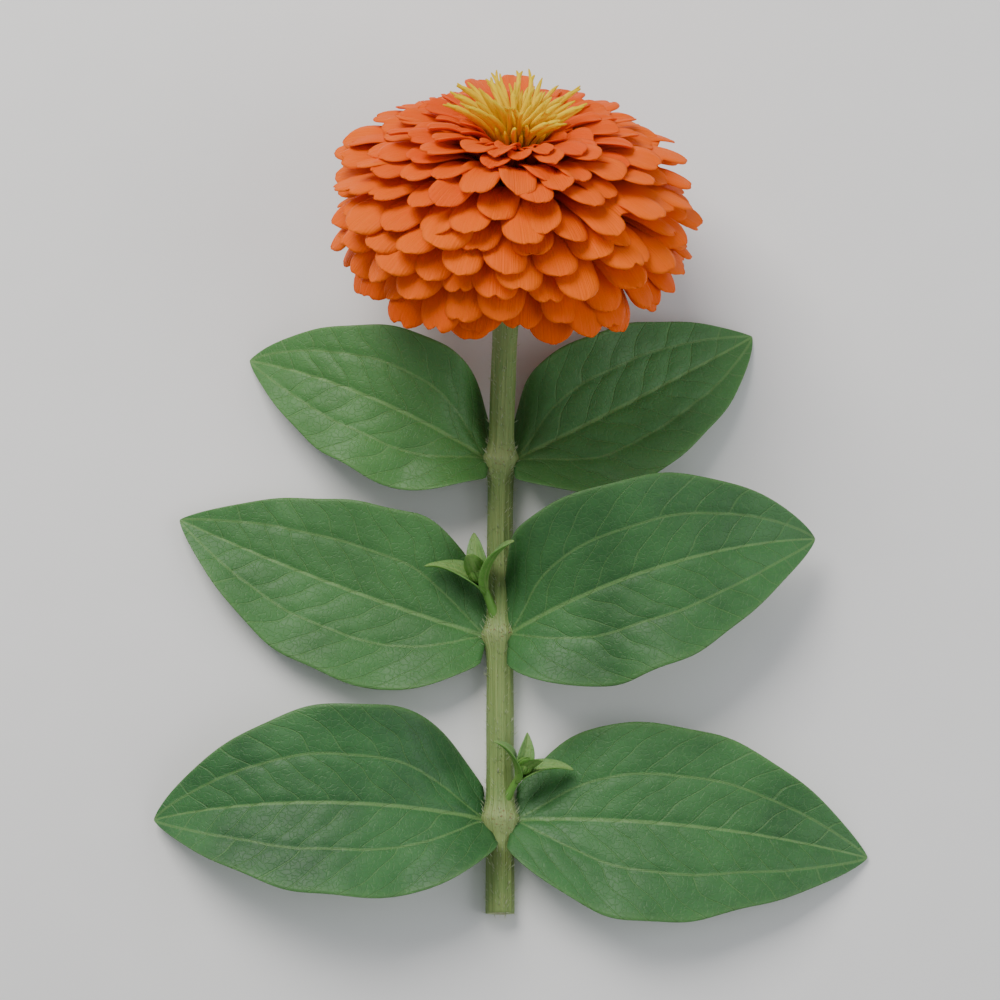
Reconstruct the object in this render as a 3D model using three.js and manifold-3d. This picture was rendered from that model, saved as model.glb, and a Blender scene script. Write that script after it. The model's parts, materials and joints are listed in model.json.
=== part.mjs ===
// A picked zinnia flower, lying on a flat surface: a fully double bloom on its curved stem, with three
// opposite pairs of leaves and two small side shoots in the leaf axils. Millimetres, +Z up. The surface is
// z = 0, and the stem lies along +Y, towards the bloom. The origin is the middle of the flat spot under the stem.

import * as THREE from "three";
import { mergeVertices } from "three/addons/utils/BufferGeometryUtils.js";
import Module from "manifold-3d";

const wasm = await Module();
wasm.setup();

// ---------------------------------------------------------------- driving dimensions

const STEM_LENGTH = 155; // from the cut end to the neck under the bloom
const STEM_LIES = 86; // length of stem that lies on the surface before it curves up
const STEM_RADIUS = 3.1;
const STEM_HEIGHT = 3; // of the centreline where it lies, a little under the radius, so the foot is flat
const FOOT_AT = 42; // from the cut end to the middle of the flat spot, the origin
const NECK_SLOPE = THREE.MathUtils.degToRad(42); // how far the bloom looks up from the surface
const STEM_SWAY = 2; // sideways bow of the curved part
const NODES_AT = { lower: 22, middle: 66, upper: 109 }; // where leaves grow, from the cut end
const SEAM = 0.3; // gap between pieces that grow on one another

const PETALS = 124;
const GOLDEN_ANGLE = Math.PI * (3 - Math.sqrt(5));
const PETAL_THICKNESS = 0.8;
// How a petal grows, from the middle of the bloom outwards: its rank from 0 to 1, the radius and height of its
// root, its length, its angle from the bloom's axis at the root and at the tip, its width, and how far it is cupped.
const PETAL_LAYERS = [
  [0, 6.4, 31.2, 11, 12, 86, 4.6, 0.4],
  [0.12, 6.8, 29.6, 19, 24, 98, 7, 0.25],
  [0.25, 7.4, 27.4, 25, 35, 103, 8.8, 0.1],
  [0.5, 9, 23, 33, 52, 110, 10.4, -0.12],
  [0.75, 10.4, 18.6, 34.5, 66, 124, 11.4, -0.22],
  [0.88, 11.2, 16.6, 34, 74, 144, 11.8, -0.25],
  [1, 12, 14.6, 33, 80, 172, 12, -0.25],
];
const INVOLUCRE_HEIGHT = 12;
const BRACT_ROWS = 2;
const BRACTS_A_ROW = 7;
const CROWN_HEIGHT = 33; // where the disc sits above the foot of the bloom
const CROWN_RADIUS = 5.6;
const FLORETS = 36;

const LEAF_THICKNESS = 0.7;
const VEIN_DEPTH = 0.35; // of the three main veins, which run from the foot of a leaf to its tip
// Angles in degrees. side: round the stem from its right side, over the top. heading: from the stem's direction
// towards the right. pitch: above level. roll: how far the right edge is lowered. Each from the leaf's foot to its tip.
const LEAVES = {
  leaf_upper_right: { node: "upper", side: 0, heading: [68, 54], pitch: [20, -30], roll: [-34, 4], size: [70, 38] },
  leaf_upper_left: { node: "upper", side: 180, heading: [-62, -70], pitch: [26, -36], roll: [36, -6], size: [68, 37] },
  leaf_middle_right: { node: "middle", side: 50, heading: [66, 80], pitch: [44, -38], roll: [-26, 10], size: [84, 46] },
  leaf_middle_left: { node: "middle", side: 184, heading: [-74, -64], pitch: [6, -6], roll: [16, 0], size: [80, 44] },
  leaf_lower_right: { node: "lower", side: 0, heading: [90, 102], pitch: [18, -22], roll: [-30, -4], size: [86, 47] },
  leaf_lower_left: { node: "lower", side: 176, heading: [-82, -98], pitch: [34, -36], roll: [34, 6], size: [84, 46] },
};
// Young shoots between a leaf and the stem above it. side as for the leaves, lean from the stem's direction.
const SHOOTS = {
  axil_shoot_middle: { node: "middle", side: 126, lean: 36, scale: 1 },
  axil_shoot_lower: { node: "lower", side: 48, lean: 42, scale: 0.85 },
};

// ---------------------------------------------------------------- small tools

const mix = (a, b, t) => a + (b - a) * t;
const bump = (x, width) => Math.exp(-((x / width) ** 2));

// The same draws each time, from -1 to 1.
function draws(seed) {
  let state = seed >>> 0;
  return () => {
    state = (Math.imul(state, 1664525) + 1013904223) >>> 0;
    return state / 2147483648 - 1;
  };
}

// A closed mesh with one vertex at each place, as a solid to cut and join.
function solidOf(geometry) {
  const bare = geometry.clone();
  bare.deleteAttribute("normal");
  bare.deleteAttribute("uv");
  const merged = mergeVertices(bare, 1e-4);
  const kept = [];
  for (let i = 0; i < merged.index.count; i += 3) {
    const [a, b, c] = merged.index.array.slice(i, i + 3);
    if (a !== b && b !== c && c !== a) kept.push(a, b, c);
  }
  return new wasm.Manifold(
    new wasm.Mesh({
      numProp: 3,
      vertProperties: new Float32Array(merged.attributes.position.array),
      triVerts: new Uint32Array(kept),
    }),
  );
}

function geometryOf(solid) {
  const mesh = solid.getMesh();
  const geometry = new THREE.BufferGeometry();
  geometry.setAttribute("position", new THREE.BufferAttribute(mesh.vertProperties, 3));
  geometry.setIndex(new THREE.BufferAttribute(mesh.triVerts, 1));
  geometry.computeVertexNormals();
  return geometry;
}

// A solid turned round the Z axis from [radius, height] pairs.
function turned(profile, sides) {
  const points = profile.map(([r, z]) => new THREE.Vector2(r, z));
  return new THREE.LatheGeometry(points, sides).rotateX(Math.PI / 2);
}

// One body of overlapping solids. Pockets that they close off inside are filled: these shells have a negative volume.
function join(geometries) {
  const shells = wasm.Manifold.union(geometries.map(solidOf)).decompose();
  return geometryOf(wasm.Manifold.compose(shells.filter((shell) => shell.volume() > 0)));
}

// A closed blade. at(u, v) gives a point for u from -1 to 1 across and v from 0 at the root to 1 at the tip.
// Both faces have the same grid of triangles, half a thickness to each side, and are joined round the rim.
function blade(cols, rows, thickness, at) {
  const sheet = new THREE.PlaneGeometry(2, 1, cols, rows);
  const count = sheet.attributes.position.count;
  const step = 1e-3;
  const faces = [[], []];
  for (let i = 0; i < count; i++) {
    const u = sheet.attributes.position.getX(i);
    const v = 0.5 - sheet.attributes.position.getY(i);
    const across = at(Math.min(1, u + step), v).sub(at(Math.max(-1, u - step), v));
    const along = at(u, Math.min(1, v + step)).sub(at(u, Math.max(0, v - step)));
    const normal = across.cross(along).normalize();
    const point = at(u, v);
    faces[0].push(...point.clone().addScaledVector(normal, thickness / 2));
    faces[1].push(...point.clone().addScaledVector(normal, -thickness / 2));
  }
  const grid = Array.from(sheet.index.array);
  const index = [];
  for (let i = 0; i < grid.length; i += 3) {
    const [a, b, c] = grid.slice(i, i + 3);
    index.push(a, c, b, count + a, count + b, count + c);
  }
  const rim = [];
  const corner = (col, row) => row * (cols + 1) + col;
  for (let c = 0; c < cols; c++) rim.push(corner(c, 0));
  for (let r = 0; r < rows; r++) rim.push(corner(cols, r));
  for (let c = cols; c > 0; c--) rim.push(corner(c, rows));
  for (let r = rows; r > 0; r--) rim.push(corner(0, r));
  rim.forEach((a, i) => {
    const b = rim[(i + 1) % rim.length];
    index.push(b, a, count + a, b, count + a, count + b);
  });
  const geometry = new THREE.BufferGeometry();
  geometry.setAttribute("position", new THREE.Float32BufferAttribute(faces.flat(), 3));
  geometry.setIndex(index);
  return geometry;
}

function material(colour, roughness) {
  return new THREE.MeshStandardMaterial({ color: colour, roughness, metalness: 0 });
}

function mesh(name, geometry, finish) {
  const made = new THREE.Mesh(geometry, finish);
  made.name = name;
  return made;
}

const PETAL_ORANGE = material(0xf2590f, 0.6);
const FLORET_YELLOW = material(0xf7c21c, 0.5);
const BRACT_GREEN = material(0x4d7a35, 0.6);
const STEM_GREEN = material(0x5d7f41, 0.6);
const LEAF_GREEN = material(0x2f6b35, 0.55);
const YOUNG_GREEN = material(0x5f9a3a, 0.55);

// ---------------------------------------------------------------- stem

// The centreline: flat along the surface, then one even curve up to the neck, with a slight bow sideways.
class StemLine extends THREE.Curve {
  getPoint(t, target = new THREE.Vector3()) {
    const s = t * STEM_LENGTH;
    const rise = Math.max(0, s - STEM_LIES);
    const radius = (STEM_LENGTH - STEM_LIES) / NECK_SLOPE;
    const slope = rise / radius;
    const y = Math.min(s, STEM_LIES) - FOOT_AT + radius * Math.sin(slope);
    const z = STEM_HEIGHT + radius * (1 - Math.cos(slope));
    const x = STEM_SWAY * (rise / (STEM_LENGTH - STEM_LIES)) ** 2;
    return target.set(x, y, z);
  }
}
const stemLine = new StemLine();

// The frame at a distance from the cut end: a point, the way to the bloom, and two directions across.
function stemFrame(s) {
  const t = s / STEM_LENGTH;
  const step = 1e-3;
  const point = stemLine.getPoint(t);
  const along = stemLine
    .getPoint(t + step)
    .sub(stemLine.getPoint(t - step))
    .normalize();
  const side = new THREE.Vector3(1, 0, 0);
  const up = side.clone().cross(along).normalize();
  side.crossVectors(along, up).normalize();
  return { point, along, side, up };
}

// Thinnest under the bloom, widening into the neck, and swollen where each pair of leaves grows.
function stemRadius(s) {
  const slim = mix(STEM_RADIUS * 1.06, STEM_RADIUS * 0.92, s / STEM_LENGTH);
  const neck = 1.3 * bump(s - STEM_LENGTH, 9);
  const knots = Object.values(NODES_AT).reduce((sum, at) => sum + 1.1 * bump(s - at, 3), 0);
  return slim + neck + knots;
}

function stemGeometry(margin = 0) {
  const sides = 12;
  const rings = 36;
  const tube = new THREE.CylinderGeometry(1, 1, STEM_LENGTH, sides, rings);
  const places = tube.attributes.position;
  for (let i = 0; i < places.count; i++) {
    const s = places.getY(i) + STEM_LENGTH / 2;
    const { point, side, up } = stemFrame(s);
    const radius = stemRadius(s) + margin;
    const turn = Math.PI / sides; // a flat facet faces down, not a corner
    const x = places.getX(i) * Math.cos(turn) - places.getZ(i) * Math.sin(turn);
    const z = places.getX(i) * Math.sin(turn) + places.getZ(i) * Math.cos(turn);
    point.addScaledVector(side, x * radius).addScaledVector(up, z * radius);
    places.setXYZ(i, point.x, point.y, Math.max(-margin, point.z));
  }
  return geometryOf(solidOf(tube));
}

// ---------------------------------------------------------------- bloom, +Z out of its face, foot at 0

const neck = stemFrame(STEM_LENGTH);
const bloomTurn = new THREE.Quaternion().setFromUnitVectors(new THREE.Vector3(0, 0, 1), neck.along);
const bloomToWorld = new THREE.Matrix4().compose(neck.point, bloomTurn, new THREE.Vector3(1, 1, 1));
const worldToBloom = bloomToWorld.clone().invert();

// Petals that would reach below the surface are bent up by it, gently at first.
function pressed(point) {
  const world = point.clone().applyMatrix4(bloomToWorld);
  const softness = 0.7;
  const lowest = PETAL_THICKNESS / 2 + 0.1;
  if (world.z > lowest + 6) return point;
  world.z = lowest + softness * Math.log1p(Math.exp((world.z - lowest) / softness));
  return world.applyMatrix4(worldToBloom);
}

// Where petal i of the spiral grows and how it bends, between the two layers that its rank lies in.
function petalForm(i, random) {
  const rank = ((i + 0.5) / PETALS) ** 0.62;
  const next = PETAL_LAYERS.findIndex((layer) => layer[0] >= rank);
  const inner = PETAL_LAYERS[next - 1];
  const outer = PETAL_LAYERS[next];
  const t = (rank - inner[0]) / (outer[0] - inner[0]);
  const [, rootRadius, rootHeight, length, startAngle, endAngle, width, cup] = inner.map((x, k) => mix(x, outer[k], t));
  return {
    rank,
    turn: i * GOLDEN_ANGLE + 0.06 * random(),
    rootRadius,
    rootHeight,
    length: length * (1 + 0.04 * random()),
    startAngle: THREE.MathUtils.degToRad(startAngle),
    endAngle: THREE.MathUtils.degToRad(endAngle + 4 * random()),
    width: width * (1 + 0.06 * random()),
    cup: cup + 0.05 * random(),
  };
}

// A point of something that grows outwards in an arc, in its own upright plane. Its sides lie across the arc.
function arcPoint(form, half, u, v) {
  const bend = form.endAngle - form.startAngle;
  const angle = form.startAngle + bend * v;
  const reach = form.length / bend;
  const lift = form.cup * half * u * u;
  const r = form.rootRadius + reach * (Math.cos(form.startAngle) - Math.cos(angle)) - lift * Math.cos(angle);
  const z = form.rootHeight + reach * (Math.sin(angle) - Math.sin(form.startAngle)) + lift * Math.sin(angle);
  const x = r * Math.cos(form.turn) - half * u * Math.sin(form.turn);
  const y = r * Math.sin(form.turn) + half * u * Math.cos(form.turn);
  return new THREE.Vector3(x, y, z);
}

// Share of the full width along a petal: a narrow claw, widest near the end, and a round tip.
function petalOutline(v) {
  const claw = 0.22 + 0.78 * THREE.MathUtils.smoothstep(v, 0, 0.68);
  const tip = Math.sqrt(1 - (Math.max(0, v - 0.7) / 0.315) ** 3);
  return claw * tip;
}

// The receptacle with the packed petal bases round it: flat seats below and on top, and a dome between.
function bloomCore() {
  const seat = INVOLUCRE_HEIGHT + SEAM;
  const profile = [
    [0, seat],
    [10.5, seat],
    [13, seat + 2.9],
    [24, seat + 3.6],
    [33, seat - 5.8],
    [36.5, seat],
    [34.5, seat + 8.2],
    [24, seat + 16],
    [CROWN_RADIUS + 1.2, CROWN_HEIGHT],
    [0, CROWN_HEIGHT],
  ];
  return turned(profile, 16);
}

// Only the outermost petals show from below down to their roots. Of the others the hidden foot is left off.
function petalsGeometry() {
  const random = draws(7);
  const parts = [bloomCore()];
  for (let i = 0; i < PETALS; i++) {
    const form = petalForm(i, random);
    const outermost = form.rank > 0.93;
    const from = outermost ? 0 : mix(0, 0.5, Math.min(1, form.rank * 1.5));
    const at = (u, v) => {
      const along = mix(from, 1, 1 - (1 - v) ** 1.6); // the grid is closer towards the tip
      return pressed(arcPoint(form, (form.width / 2) * petalOutline(along), u, along));
    };
    parts.push(blade(2, outermost ? 5 : 3, PETAL_THICKNESS, at));
  }
  return join(parts);
}

// The green cup under the petals, with rows of round-tipped bracts that overlap like tiles.
function cupRadius(z) {
  return 3.7 + 7.4 * Math.sqrt(THREE.MathUtils.clamp(z / INVOLUCRE_HEIGHT, 0, 1));
}

function involucreGeometry() {
  const steps = 3;
  const profile = [[0, SEAM]];
  for (let k = 0; k <= steps; k++) {
    const z = mix(SEAM, INVOLUCRE_HEIGHT, (k / steps) ** 1.6);
    profile.push([cupRadius(z) - 0.5, z]);
  }
  profile.push([0, INVOLUCRE_HEIGHT]);
  const parts = [turned(profile, 12)];
  const random = draws(11);
  for (let row = 0; row < BRACT_ROWS; row++) {
    const low = 0.9 + row * 3.2;
    const high = mix(7.5, INVOLUCRE_HEIGHT + 0.6, row / (BRACT_ROWS - 1));
    const width = mix(7, 9.8, row / (BRACT_ROWS - 1));
    for (let k = 0; k < BRACTS_A_ROW; k++) {
      const turn = ((k + 0.5 * (row % 2)) / BRACTS_A_ROW) * 2 * Math.PI + 0.08 * random();
      const top = high + 0.3 * random() - 0.3;
      parts.push(
        blade(2, 2, 0.8, (u, v) => {
          const z = mix(low, top, v);
          const half = (width / 2) * Math.sqrt(Math.max(0, 1 - (Math.max(0, v - 0.35) / 0.66) ** 2.5));
          const r = cupRadius(z) - 0.25 + 0.7 * v * v;
          const angle = turn + (half * u) / r;
          return new THREE.Vector3(r * Math.cos(angle), r * Math.sin(angle), z);
        }),
      );
    }
  }
  return join(parts);
}

// The yellow crown: a low boss set with slim florets, upright in the middle and spread wide at the rim.
function discGeometry() {
  const floor = CROWN_HEIGHT + SEAM;
  const profile = [
    [0, floor],
    [CROWN_RADIUS, floor],
    [CROWN_RADIUS - 0.4, floor + 1],
    [CROWN_RADIUS - 2.4, floor + 1.9],
    [0, floor + 2.3],
  ];
  const parts = [turned(profile, 12)];
  const random = draws(5);
  for (let i = 0; i < FLORETS; i++) {
    const rank = Math.sqrt((i + 0.5) / FLORETS);
    const form = {
      turn: i * GOLDEN_ANGLE + 0.1 * random(),
      rootRadius: (CROWN_RADIUS - 1.1) * rank,
      rootHeight: floor + mix(1.8, 0.9, rank),
      length: mix(11, 19, rank) * (1 + 0.14 * random()),
      startAngle: THREE.MathUtils.degToRad(mix(3, 30, rank)),
      endAngle: THREE.MathUtils.degToRad(mix(16, 78, rank) + 8 * random()),
      cup: 0,
    };
    parts.push(blade(1, 2, 1.1, (u, v) => arcPoint(form, mix(0.6, 0.8, v), u, v)));
  }
  return join(parts);
}

// ---------------------------------------------------------------- leaves

// The path of a leaf's midrib: it leaves the stem's middle and turns evenly from one direction to another.
function leafMidrib(spec, steps = 32) {
  const { point, side, up } = stemFrame(NODES_AT[spec.node]);
  const start = THREE.MathUtils.degToRad(spec.side);
  const inset = stemRadius(NODES_AT[spec.node]) - 1.2;
  const places = [point.addScaledVector(side, inset * Math.cos(start)).addScaledVector(up, inset * Math.sin(start))];
  const ways = [];
  for (let k = 0; k <= steps; k++) {
    const heading = THREE.MathUtils.degToRad(mix(...spec.heading, k / steps));
    const pitch = THREE.MathUtils.degToRad(mix(...spec.pitch, k / steps));
    const way = new THREE.Vector3(
      Math.sin(heading) * Math.cos(pitch),
      Math.cos(heading) * Math.cos(pitch),
      Math.sin(pitch),
    );
    ways.push(way);
    places.push(places[k].clone().addScaledVector(way, spec.size[0] / steps));
  }
  return { places, ways, steps };
}

// Share of the full width along a leaf: a clasping foot, widest below the middle, and a pointed tip.
function leafOutline(v) {
  const foot = 0.36 + 0.64 * Math.sin((Math.PI / 2) * Math.min(1, v / 0.34)) ** 0.8;
  const tip = Math.cos((Math.PI / 2) * THREE.MathUtils.clamp((v - 0.36) / 0.64, 0, 1)) ** 0.85;
  return foot * mix(0.03, 1, tip);
}

// Across a leaf the three main veins lie in furrows, and the blade between them is raised.
function leafRelief(u) {
  return VEIN_DEPTH * Math.cos(4 * Math.PI * u) * -1;
}

function leafSurface(spec, seed) {
  const random = draws(seed);
  const { places, ways, steps } = leafMidrib(spec);
  const waves = [random(), random(), random(), random()].map((x) => x * Math.PI);
  const fold = 0.16 + 0.05 * random();
  return (u, v) => {
    const along = v * steps;
    const k = Math.min(steps - 1, Math.floor(along));
    const place = places[k].clone().lerp(places[k + 1], along - k);
    const way = ways[k].clone().lerp(ways[k + 1], along - k).normalize();
    const across = way.clone().cross(new THREE.Vector3(0, 0, 1)).normalize();
    const roll = THREE.MathUtils.degToRad(mix(...spec.roll, THREE.MathUtils.smoothstep(v, 0, 0.28)));
    across.applyAxisAngle(way, roll);
    const normal = across.clone().cross(way);
    const half = (spec.size[1] / 2) * leafOutline(v);
    const ripple = Math.sin(9 * v + waves[u > 0 ? 0 : 1]) + 0.6 * Math.sin(17 * v + waves[u > 0 ? 2 : 3]);
    const lift = fold * half * Math.abs(u) ** 1.5 + 0.9 * ripple * u * u * leafOutline(v) + leafRelief(u) * leafOutline(v);
    place.addScaledVector(across, half * u).addScaledVector(normal, lift);
    const lowest = LEAF_THICKNESS / 2 + 0.05;
    const softness = 0.8;
    place.z = lowest + softness * Math.log1p(Math.exp((place.z - lowest) / softness));
    return place;
  };
}

// The foot of a leaf or shoot is trimmed to the stem that it clasps.
const stemTrim = solidOf(stemGeometry(SEAM));
function trimmed(geometry) {
  const pieces = solidOf(geometry).subtract(stemTrim).decompose();
  return geometryOf(pieces.sort((a, b) => b.volume() - a.volume())[0]);
}

// A short stalk with two pairs of small leaves round a bud, +Z along the stalk.
function shootGeometry(seed) {
  const random = draws(seed);
  const stalk = [
    [0, 0],
    [1.4, 0],
    [0.9, 9],
    [2.3, 11.6],
    [1.9, 13.6],
    [0, 15],
  ];
  const parts = [turned(stalk, 6)];
  for (let k = 0; k < 4; k++) {
    const form = {
      turn: (k % 2) * Math.PI + (k > 1 ? Math.PI / 2 : 0) + 0.15 * random(),
      rootRadius: 0.3,
      rootHeight: k > 1 ? 9.4 : 7,
      length: (k > 1 ? 12 : 17) * (1 + 0.1 * random()),
      startAngle: THREE.MathUtils.degToRad(14),
      endAngle: THREE.MathUtils.degToRad((k > 1 ? 50 : 84) + 6 * random()),
      cup: 0.35,
    };
    const half = k > 1 ? 2.6 : 3.6;
    parts.push(blade(2, k > 1 ? 2 : 3, LEAF_THICKNESS, (u, v) => arcPoint(form, half * leafOutline(v), u, v)));
  }
  return join(parts);
}

function placedShoot(spec, seed) {
  const { point, along, side, up } = stemFrame(NODES_AT[spec.node] + 4);
  const start = THREE.MathUtils.degToRad(spec.side);
  const lean = THREE.MathUtils.degToRad(spec.lean);
  const outwards = side.multiplyScalar(Math.cos(start)).addScaledVector(up, Math.sin(start));
  const way = along.multiplyScalar(Math.cos(lean)).addScaledVector(outwards, Math.sin(lean));
  const turn = new THREE.Quaternion().setFromUnitVectors(new THREE.Vector3(0, 0, 1), way);
  const size = new THREE.Vector3(1, 1, 1).multiplyScalar(spec.scale);
  const shoot = shootGeometry(seed);
  return trimmed(shoot.applyMatrix4(new THREE.Matrix4().compose(point.addScaledVector(outwards, 1.5), turn, size)));
}

// ---------------------------------------------------------------- the flower

const flower = new THREE.Group();
flower.add(mesh("stem", stemGeometry(), STEM_GREEN));

const bloom = new THREE.Group();
bloom.position.copy(neck.point);
bloom.quaternion.copy(bloomTurn);
bloom.add(mesh("petals", petalsGeometry(), PETAL_ORANGE));
bloom.add(mesh("disc_florets", discGeometry(), FLORET_YELLOW));
bloom.add(mesh("involucre", involucreGeometry(), BRACT_GREEN));
flower.add(bloom);

Object.entries(LEAVES).forEach(([name, spec], i) => {
  const leaf = blade(8, 10, LEAF_THICKNESS, leafSurface(spec, 21 + i));
  flower.add(mesh(name, trimmed(leaf), LEAF_GREEN));
});
Object.entries(SHOOTS).forEach(([name, spec], i) => {
  flower.add(mesh(name, placedShoot(spec, 31 + i), YOUNG_GREEN));
});

export default flower;
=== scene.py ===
"""A picked zinnia flower lying on a pale table: a full orange bloom with a yellow crown, on a leafy stem."""

import json
import math

import bpy
import numpy as np
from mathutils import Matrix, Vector

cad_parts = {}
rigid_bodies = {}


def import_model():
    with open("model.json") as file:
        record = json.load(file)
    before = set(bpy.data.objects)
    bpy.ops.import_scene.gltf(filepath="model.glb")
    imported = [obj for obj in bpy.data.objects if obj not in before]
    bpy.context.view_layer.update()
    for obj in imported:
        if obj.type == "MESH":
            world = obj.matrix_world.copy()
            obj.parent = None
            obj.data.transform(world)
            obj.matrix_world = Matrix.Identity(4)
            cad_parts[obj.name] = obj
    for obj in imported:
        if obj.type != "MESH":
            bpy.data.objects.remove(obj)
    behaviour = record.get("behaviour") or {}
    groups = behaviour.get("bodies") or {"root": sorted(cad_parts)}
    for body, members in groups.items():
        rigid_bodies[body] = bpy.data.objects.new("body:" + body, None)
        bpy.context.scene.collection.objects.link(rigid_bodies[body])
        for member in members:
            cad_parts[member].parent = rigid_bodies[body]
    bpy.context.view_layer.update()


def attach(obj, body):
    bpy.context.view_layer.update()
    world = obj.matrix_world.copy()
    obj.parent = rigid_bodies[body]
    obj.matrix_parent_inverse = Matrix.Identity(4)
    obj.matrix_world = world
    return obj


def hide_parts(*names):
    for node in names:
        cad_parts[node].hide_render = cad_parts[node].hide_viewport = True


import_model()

# ---------------- camera, light and table
# The flower lies on a plain pale table and is seen from above, over its cut end, so that the bloom shows its
# tiled side and its crown at once. A large soft light stands beyond the bloom, a weaker one to the right.

SIGHT_POINT = Vector((0.0, 0.0545, 0.016))
SIGHT_ELEVATION = math.radians(77)
SIGHT_DISTANCE = 0.66


def in_scene(name, data):
    """An object in the scene, from a mesh, a light or a camera."""
    thing = bpy.data.objects.new(name, data)
    bpy.context.scene.collection.objects.link(thing)
    return thing


def aimed(name, data, place):
    """A camera or a light at a place, turned to the sight point."""
    thing = in_scene(name, data)
    thing.location = place
    thing.rotation_mode = "QUATERNION"
    thing.rotation_quaternion = (SIGHT_POINT - Vector(place)).to_track_quat("-Z", "Y")
    return thing


def soft_light(name, place, power, size, colour):
    light = bpy.data.lights.new(name, "AREA")
    light.energy = power
    light.size = size
    light.color = colour
    aimed(name, light, place)


camera_data = bpy.data.cameras.new("camera")
camera_data.lens = 100
camera_data.clip_start = 0.01
towards_camera = Vector((0, -math.cos(SIGHT_ELEVATION), math.sin(SIGHT_ELEVATION)))
bpy.context.scene.camera = aimed("camera", camera_data, SIGHT_POINT + towards_camera * SIGHT_DISTANCE)

soft_light("window_light", (-0.34, 0.62, 0.72), power=9.2, size=0.6, colour=(1.0, 0.97, 0.93))
soft_light("side_light", (0.75, -0.1, 0.55), power=2.8, size=0.7, colour=(0.95, 0.98, 1.0))

world = bpy.data.worlds.new("room")
bpy.context.scene.world = world
world.use_nodes = True
room_light = world.node_tree.nodes["Background"].inputs
room_light["Color"].default_value = (0.92, 0.95, 1.0, 1)
room_light["Strength"].default_value = 0.42


def add(tree, kind, inputs=None, **settings):
    """A node, with its settings and inputs. An input is a value or another node's output."""
    node = tree.nodes.new(kind)
    for name, value in settings.items():
        setattr(node, name, value)
    for socket, value in (inputs or {}).items():
        if isinstance(value, bpy.types.NodeSocket):
            tree.links.new(value, node.inputs[socket])
        else:
            node.inputs[socket].default_value = value
    return node


def maths(tree, operation, *values):
    return add(tree, "ShaderNodeMath", dict(enumerate(values)), operation=operation).outputs[0]


def times(tree, value, factor):
    return maths(tree, "MULTIPLY", value, factor)


def place_on(tree):
    """The place on the piece, in metres."""
    return add(tree, "ShaderNodeTexCoord").outputs["Object"]


def noise(tree, place, scale, detail):
    inputs = {"Vector": place, "Scale": scale, "Detail": detail}
    return add(tree, "ShaderNodeTexNoise", inputs).outputs["Fac"]


def finish_of(name, roughness, translucence=0.0, **constants):
    """A new material, its node tree and its surface shader. constants are more inputs, _ for a space."""
    finish = bpy.data.materials.new(name)
    finish.use_nodes = True
    shader = finish.node_tree.nodes["Principled BSDF"]
    flesh = {"Subsurface Weight": translucence, "Subsurface Scale": 0.002}
    for socket, value in {"Roughness": roughness, **flesh, **constants}.items():
        shader.inputs[socket.replace("_", " ")].default_value = value
    return finish, finish.node_tree, shader


def coloured(tree, shader, ground, coats):
    """The shader's colour: a ground and the coats over it, each with its mask, its strength and its tint."""
    colour = (*ground, 1)
    for mask, strength, tint in coats:
        share = times(tree, mask, strength)
        coat = add(tree, "ShaderNodeMix", {0: share, 6: colour, 7: (*tint, 1)}, data_type="RGBA")
        colour = coat.outputs[2]
    tree.links.new(colour, shader.inputs["Base Color"])


table_paint, tree, shader = finish_of("table_paint", 0.7)
mottle = noise(tree, place_on(tree), 60, 4)
coloured(tree, shader, (0.85, 0.845, 0.835), [(mottle, 1, (0.89, 0.885, 0.875))])
table_mesh = bpy.data.meshes.new("table")
table_mesh.from_pydata([(-3, -3, 0), (3, -3, 0), (3, 3, 0), (-3, 3, 0)], [], [(0, 1, 2, 3)])
table_mesh.materials.append(table_paint)
table = in_scene("table", table_mesh)

# ---------------- stem
# The green flower stem, cut square at its foot: round, finely ridged along its length, and swollen into a
# pale ring at each of the three nodes where a pair of leaves grows. It lies flat, then rises to the bloom.

MM = 0.001
STEM_LENGTH = 155
STEM_LIES = 86
STEM_RADIUS = 3.1
STEM_HEIGHT = 3
FOOT_AT = 42
NECK_SLOPE = math.radians(42)
STEM_SWAY = 2
NODES_AT = {"lower": 22, "middle": 66, "upper": 109}
STEM_RIDGES = 10
RIDGE_HEIGHT = 0.11
STEM_SIDES = 60
STEM_RINGS = 236
# the rings of the two ends, from the middle of the cut to the middle of the neck: how far along, and which
# share of the radius
CUT_RINGS = [[0.27, 0.1], [0.24, 0.5], [0.05, 0.62], [0.02, 0.9]]
PITH_RINGS = 2
NECK_RINGS = [[STEM_LENGTH, 0.7], [STEM_LENGTH, 0.1]]


def bump(x, width):
    return np.exp(-((x / width) ** 2))


def lerp(a, b, t):
    return a + (b - a) * t


def unit(vectors):
    return vectors / np.maximum(np.linalg.norm(vectors, axis=-1, keepdims=True), 1e-9)


def stem_line(s):
    """The middle of the stem, in millimetres, s millimetres from the cut end."""
    s = np.asarray(s, float)
    rise = np.maximum(0, s - STEM_LIES)
    radius = (STEM_LENGTH - STEM_LIES) / NECK_SLOPE
    x = STEM_SWAY * (rise / (STEM_LENGTH - STEM_LIES)) ** 2
    y = np.minimum(s, STEM_LIES) - FOOT_AT + radius * np.sin(rise / radius)
    z = STEM_HEIGHT + radius * (1 - np.cos(rise / radius))
    return np.stack([x, y, z], -1)


def stem_frame(s):
    """A point of the stem's middle, the way to the bloom, and two directions across."""
    along = unit(stem_line(np.asarray(s) + 0.1) - stem_line(np.asarray(s) - 0.1))
    up = unit(np.cross(np.array([1.0, 0, 0]), along))
    return stem_line(s), along, np.cross(along, up), up


def knots(s, width):
    """1 at the nodes of the stem, and falling off within a width of them."""
    return sum(bump(s - at, width) for at in NODES_AT.values())


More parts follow.
